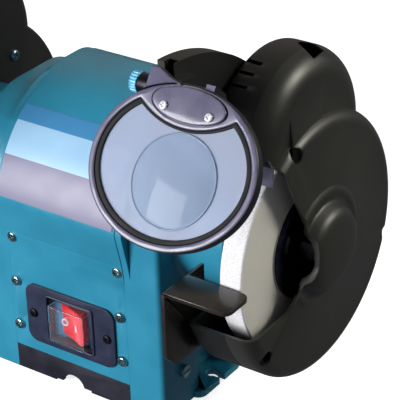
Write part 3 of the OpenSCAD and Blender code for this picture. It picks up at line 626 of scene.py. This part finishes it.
# ---- Wheel guards ----
# Each wheel runs in a pressed case with a round hood over it, in two halves: a shell screwed to the
# neck and a cover held by three sunk screws. A ring and a dome are pressed over the spindle's end.
# They are painted satin black. The cover's olive grey is lightened as a painted sheen, and the shell gets a
# darker black of the same paint as painted shade.
hood_z, split_x = 205, 146
cover_screw_places = ((-30, 213, 160), (78, 107, 163), (-67, 87, 163))


def case_line(t):
    """The case's outline to be turned, moved in by t."""
    top = 166 - t
    line = [(0, 118 + t), (86.5 - t * 0.5, 118 + t)]
    line += curve(86.5 - t * 0.5, 121 + t * 0.5, 3 - t * 0.5, 270, 360, 4)
    line += curve(80.5, 157, 9 - t, 0, 90, 10)
    line += [(41.5 - t, top), (40.4 - t, top + 0.5), (39 - t, top + 1.5), (37 - t, top + 2),
             (35.2 - t, top + 1.6), (33.5 - t, top + 1.1), (31.5 - t, top + 1.6), (30 - t, top + 3.4),
             (28.6 - t, top + 6.6), (26.4 - t, top + 9), (23.4 - t, top + 10.6), (18 - t, top + 11.5),
             (10, top + 11.9), (0, top + 12)]
    return line


def hood_line(t):
    """The hood's outline to be turned, moved in by t."""
    line = [(0, 118 + t)] + curve(52, 128, 10 - t, 270, 360, 10)
    return line + curve(44, 142, 18 - t, 0, 90, 16) + [(0, 160 - t)]


guard_wall = 2.5
guard = turned("guard", case_line(0), sides=128)
carve(guard, turned("hood", hood_line(0), hood_z, 112), "UNION")
# in front the hood runs down into the case without a step
fairing = block("fairing", (150, -30, 182), (159.9, 30, 238))
pick(fairing, "VERT", lambda v, m: m.x > 155 and m.z < 200)
bpy.ops.transform.translate(value=(0.0058, 0, 0.006))
close()
pick(fairing, "VERT", lambda v, m: m.x > 155 and m.z < 200 and m.y > 0)
bpy.ops.transform.translate(value=(0, -0.012, 0))
close()
pick(fairing, "VERT", lambda v, m: m.y > 0 and m.z > 200)
bpy.ops.transform.translate(value=(0, -0.028, -0.004))
close()
carve(guard, fairing, "UNION")
carve(guard, turned("case_room", case_line(guard_wall), sides=128))
carve(guard, turned("hood_room", hood_line(guard_wall), hood_z, 112))
mouth_line = [(-110, 217), (-50, 217), (-24, 167), (-21.5, 152), (-23, 134), (-28, 119), (-34, 111),
              (-42, 107), (-110, 107)]
carve(guard, prism("mouth", mouth_line, 116, 186))
for i in range(3):
    angle = math.radians(72 - 9.5 * i)
    slot = window("slot", (122.5, -1.1, -6), (134.5, 1.1, 6), 0.5)
    slot.data.transform(Matrix.Translation((0, -0.0605 * math.cos(angle), 0.205 + 0.0605 * math.sin(angle)))
                        @ Matrix.Rotation(angle, 4, "X"))
    carve(guard, slot)
moon = rod("moon", 138, 158, 8.5, 14, 260, 40)
carve(moon, block("moon_half", (130, -20, 240), (160, 60, 257)))
moon.data.transform(Matrix.Translation((0.146, 0.015, 0.261))
                    @ Matrix.Rotation(math.radians(-28), 4, "Y")
                    @ Matrix.Translation((-0.146, -0.015, -0.261)))
carve(guard, moon)
carve(guard, rod("spindle_hole", 117, 124, 13))
shell = guard.copy()
shell.data = guard.data.copy()
shell.name = "guard_shell_form_right"
bpy.context.collection.objects.link(shell)
carve(shell, block("inner_half", (100, -120, 0), (split_x, 120, 300)), "INTERSECT")
carve(guard, block("outer_half", (split_x + 0.15, -120, 0), (190, 120, 300)), "INTERSECT")
guard.name = "guard_cover_form_right"
for y, z, face in cover_screw_places:
    carve(guard, rod("sink", face - 2.2, face + 8, 5, y, z, 32))
    carve(shell, rod("post", 119, 145.9, 4.5, y, z, 24), "UNION")
soften(shell, 0.35, 2, 35)
soften(guard, 0.35, 2, 35)
# the cover's satin black is lightened to an olive grey: a painted sheen
satin = coating("satin_black", tint(41, 41, 36), tint(32, 32, 29), cloud=18, rough=(0.34, 0.46),
                peel=900, depth=0.12)
# the same satin paint made darker: painted shade for the shell, which lies in shadow
shaded_black = coating("shaded_black", tint(15, 15, 15), tint(10, 10, 10), cloud=18, rough=(0.45, 0.56),
                     peel=900, depth=0.12)
dress(shell, shaded_black, "housing", "guard_black", "guard_shell_right")
dress(guard, satin, "housing", "guard_black", "guard_cover_right")
dress(mirrored(shell, "guard_shell_form_left"), shaded_black, "housing", "guard_black", "guard_shell_left")
dress(mirrored(guard, "guard_cover_form_left"), satin, "housing", "guard_black", "guard_cover_left")

# ---- Spark arrestors and tool rests ----
# A zinc plated strip closes the gap over each wheel, on two slotted screws. Below it a rest, bent
# from thick sheet and painted gloss black, slides on two bolts.
# zinc plating whose violet grey cast is a painted reflection
arrestor_zinc_and_reflection = coating("arrestor_plate", tint(120, 118, 140), tint(96, 96, 116), cloud=120,
                          rough=(0.3, 0.42), metal=0.7)
paint(arrestor_zinc_and_reflection, "spark_arrestor_right", "spark_arrestor_left")
# the black paint's colour warmed to brown: a painted reflection of the warm light behind
gloss_black_warm_reflection = coating("gloss_black_warm_reflection", tint(40, 34, 29), tint(30, 26, 23), cloud=50, rough=(0.24, 0.34),
                      depth=0.08, coat=0.1)
rest = block("rest_right", (112, -103, 134.5), (161, -77, 137))
round_edges(rest, lambda e, m: m.x > 160.9 and (m.y < -102.9 or m.y > -77.1) and 134.6 < m.z < 136.9,
            6, 8)
side = prism("side", [(-103, 89), (-93, 79), (-34, 79), (-34, 103), (-60, 103), (-60, 136.5),
                      (-103, 136.5)], 112, 114.5)
carve(rest, side, "UNION")
round_edges(rest, lambda e, m: 113 > m.x and m.z > 136.9 and -102.9 < m.y < -77.1, 2.3, 4)
slot = prism("slot", [(-68.7, 89.3), (-38.3, 89.3), (-38.3, 94.7), (-68.7, 94.7)], 110, 116)
round_edges(slot, lambda e, m: 112 < m.x < 114 and abs(m.z - 92) > 2.5 and abs(m.y + 53.5) > 15, 2.65, 6)
carve(rest, slot)
soften(rest, 0.4, 2)
dress(rest, gloss_black_warm_reflection, "rest_right", "black_paint", "tool_rest_right")
dress(mirrored(rest, "rest_left"), gloss_black_warm_reflection, "rest_left", "black_paint", "tool_rest_left")

# ---- Eye shield brackets ----
# A moulded black bracket is screwed to the inner face of each guard and carries the shield's hinge.
# the brackets take the darker black too: painted shade
paint(shaded_black, "shield_bracket_right", "shield_bracket_left")

# ---- Eye shields ----
# An oval frame moulded in one with its ear and hinge lugs holds a clear plate in a black seal; the seal is
# partly a real gasket and partly painted shade from the ring's inner wall. The right one carries a round
# magnifier. A raised oval pad takes two white screws.
shield_x, hinge_y, hinge_z = 0.144, -0.096, 0.273
hang = Matrix.Translation((shield_x, hinge_y, hinge_z)) @ Matrix.Rotation(math.radians(-34), 4, "X") \
    @ Matrix.Translation((0, -0.0098, -0.0428))


def oval(name, a, b, y0, y1, z=0, sides=128):
    """An oval disc facing along Y."""
    bpy.ops.mesh.primitive_cylinder_add(vertices=sides, radius=1, depth=1, rotation=(math.pi / 2, 0, 0))
    made = bpy.context.active_object
    made.name = name
    bpy.ops.object.transform_apply(location=True, rotation=True, scale=True)
    made.data.transform(Matrix.Translation((0, (y0 + y1) / 2000, z / 1000))
                        @ Matrix.Diagonal((a / 1000, (y1 - y0) / 1000, b / 1000, 1)))
    return made


frame_violet = coating("frame_violet", tint(100, 98, 122), tint(88, 86, 110), cloud=60,
                       rough=(0.24, 0.34), peel=1200, depth=0.08, coat=0.2)
# a near-black copy of the frame colour for the ring's side and inner walls: painted shade and dark
# reflection
frame_shade = coating("frame_shade", tint(16, 16, 26), tint(10, 10, 18), cloud=60, rough=(0.36, 0.46),
                     peel=1200, depth=0.05)
seal_and_shade_black = coating("seal_and_shade_black", tint(9, 9, 12), tint(5, 5, 8), cloud=60, rough=(0.7, 0.85),
                     depth=0.05)
for side, sign in (("right", 1), ("left", -1)):
    ring = oval("shield_ring_" + side, 56.5, 48, -3, 3)
    ear = prism("ear", [(-33, 24), (-33, 51.5), (-32.4, 52.9), (-31, 53.5), (-27, 53.6), (-18, 49.5),
                        (-9, 47.4), (10, 40)], -3, 3, "Y")
    carve(ring, ear, "UNION")
    opening = oval("opening", 51.9, 43.6, -5, 5)
    hanging = rod_y("hanging_arc", -8, 8, 55, -1, 77.8, 128)
    carve(opening, hanging)
    carve(ring, opening)
    round_edges(ring, lambda e, m: m.y < -2.9 and e.calc_face_angle(0) > 0.5, 1.5, 4)
    groove = oval("groove", 26.2, 11.1, -4, -2.2, 36.3)
    carve(groove, oval("groove_inside", 25.2, 10.1, -6, 0, 36.3))
    carve(ring, groove)
    pad = oval("pad", 25.2, 10.1, -4.4, -1, 36.3)
    round_edges(pad, lambda e, m: m.y < -4.3, 1.1, 4)
    carve(ring, pad, "UNION")
    for x in (-33, 5):
        lug = rod("lug", x, x + 6, 7, 9.8, 42.8)
        carve(lug, prism("web", [(0, 33), (0, 51), (9.8, 49.8), (16.5, 40.5), (9.8, 35.8)], x, x + 6),
              "UNION")
        carve(ring, lug, "UNION")
    carve(ring, rod("hinge_hole", -45, 25, 3.05, 9.8, 42.8, 32))
    for x in (-15.6, 15.6):
        carve(ring, rod_y("screw_hole", -10, 2, 1.7, x, 32.7, 24))
    bpy.ops.object.select_all(action="DESELECT")
    ring.select_set(True)
    bpy.context.view_layer.objects.active = ring
    bpy.ops.object.shade_smooth_by_angle(angle=math.radians(38))
    dress(ring, frame_violet, "shield_" + side, "frame_plastic", "shield_frame_" + side)
    # faces that turn away from the front, the ring's side and inner walls, take the near-black copy:
    # painted shade and dark reflection
    ring.data.materials.append(frame_shade)
    for face in ring.data.polygons:
        if face.normal.y > -0.45 or (face.center.y > -0.0027 and face.normal.y > -0.97):
            face.material_index = 1
    # the black seal band is partly a real gasket and partly painted shade: it is as wide as the shadow
    # inside the ring's inner wall
    seal = oval("shield_seal_" + side, 51.8, 43.5, -2.4, -1.05)
    hole = oval("seal_hole", 48.9, 40.6, -5, 5)
    carve(hole, rod_y("hanging_arc", -8, 8, 56.4, -1, 77.8, 128))
    carve(seal, hole)
    carve(seal, rod_y("hanging_arc", -8, 8, 54.9, -1, 77.8, 128))
    round_edges(seal, lambda e, m: m.y < -2.3, 0.5, 2)
    bpy.ops.object.shade_smooth_by_angle(angle=math.radians(38))
    dress(seal, seal_and_shade_black, "shield_" + side, "frame_plastic")
    for part in (ring, seal):
        part.data.transform(hang)
        if sign < 0:
            part.data.transform(Matrix.Scale(-1, 4, (1, 0, 0)))
            part.data.flip_normals()

enamel_white = coating("white_screws", tint(236, 238, 240), tint(214, 216, 220), cloud=220,
                       rough=(0.2, 0.3), metal=0.3)
clear_plate = clear("clear_plate", tint(186, 196, 220), (0.06, 0.12), 0.4)
magnifier_glass = clear("magnifier_glass", tint(186, 202, 224), (0.01, 0.03), 0.6, 1.18)
for side, sign in (("right", 1), ("left", -1)):
    sheet = oval("shield_plate_" + side, 51.7, 43.4, -1, 1)
    carve(sheet, rod_y("hanging_arc", -8, 8, 55.1, -1, 77.8, 128))
    bpy.ops.object.shade_smooth_by_angle(angle=math.radians(38))
    dress(sheet, clear_plate, "shield_" + side, "clear_lens", "shield_lens_" + side)
    parts = [sheet]
    if sign > 0:
        bpy.ops.mesh.primitive_uv_sphere_add(segments=96, ring_count=180, radius=0.0798)
        bulge = bpy.context.active_object
        bulge.name = "magnifier_right"
        pick(bulge, "VERT", lambda v, m: True)
        bpy.ops.mesh.bisect(plane_co=(0, 0, 0.07465), plane_no=(0, 0, 1), clear_inner=True,
                            use_fill=True)
        close()
        bulge.data.transform(Matrix.Translation((0.0035, 0, -0.007))
                             @ Matrix.Rotation(math.radians(90), 4, "X")
                             @ Matrix.Translation((0, 0, -0.0736)))
        bpy.ops.object.shade_smooth_by_angle(angle=math.radians(38))
        dress(bulge, magnifier_glass, "shield_right", "clear_lens", "shield_lens_right")
        parts.append(bulge)
        bpy.ops.mesh.primitive_torus_add(major_radius=0.0277, minor_radius=0.0006, major_segments=96,
                                         minor_segments=10,
                                         location=(0.0035, -0.0014, -0.007),
                                         rotation=(math.pi / 2, 0, 0))
        lens_rim = bpy.context.active_object
        lens_rim.name = "magnifier_rim_right"
        bpy.ops.object.transform_apply(location=True, rotation=True, scale=True)
        bpy.ops.object.shade_smooth()
        dress(lens_rim, magnifier_glass, "shield_right", "clear_lens")
        parts.append(lens_rim)
    for part in parts:
        part.data.transform(hang)
        if sign < 0:
            part.data.transform(Matrix.Scale(-1, 4, (1, 0, 0)))
            part.data.flip_normals()
paint(enamel_white, "shield_screws_right", "shield_screws_left")

# ---- Shield knobs ----
# A light blue moulded knob with straight grips clamps each hinge bolt, on a dark collar.
knob_blue = coating("knob_blue", tint(96, 186, 222), tint(76, 164, 204), cloud=100, rough=(0.22, 0.32),
                    depth=0.05, coat=0.3)
bpy.ops.mesh.primitive_cylinder_add(vertices=72, radius=0.0066, depth=0.005,
                                    location=(0.0975, hinge_y, hinge_z),
                                    rotation=(0, math.pi / 2, 0))
knob = bpy.context.active_object
knob.name = "knob_right"
bpy.ops.object.transform_apply(location=True, rotation=True, scale=True)


def grip(face, middle):
    """True for the faces round the knob that lie between its ribs."""
    around = math.atan2(middle.z - hinge_z * 1000, middle.y - hinge_y * 1000) * 72 / math.tau
    return abs(middle.x - 97.5) < 0.1 and round(around - 0.5) % 4 < 2


pick(knob, "FACE", grip)
bpy.ops.mesh.inset(thickness=0.0003, depth=-0.0007, use_individual=False)
close()
soften(knob, 0.25, 2)
dress(knob, knob_blue, "knob_right", "knob_plastic")
collar = rod("collar_right", 100, 110.8, 6.2, hinge_y * 1000, hinge_z * 1000, 48)
carve(collar, rod("bolt", 110.5, 159.8, 3, hinge_y * 1000, hinge_z * 1000, 40), "UNION")
round_edges(collar, lambda e, m: m.x < 100.1, 0.8, 3)
bpy.ops.object.shade_smooth_by_angle(angle=math.radians(38))
dress(collar, dark_steel, "knob_right", "knob_plastic", "shield_knob_right")
dress(mirrored(knob, "knob_left"), knob_blue, "knob_left", "knob_plastic")
dress(mirrored(collar, "collar_left"), dark_steel, "knob_left", "knob_plastic", "shield_knob_left")
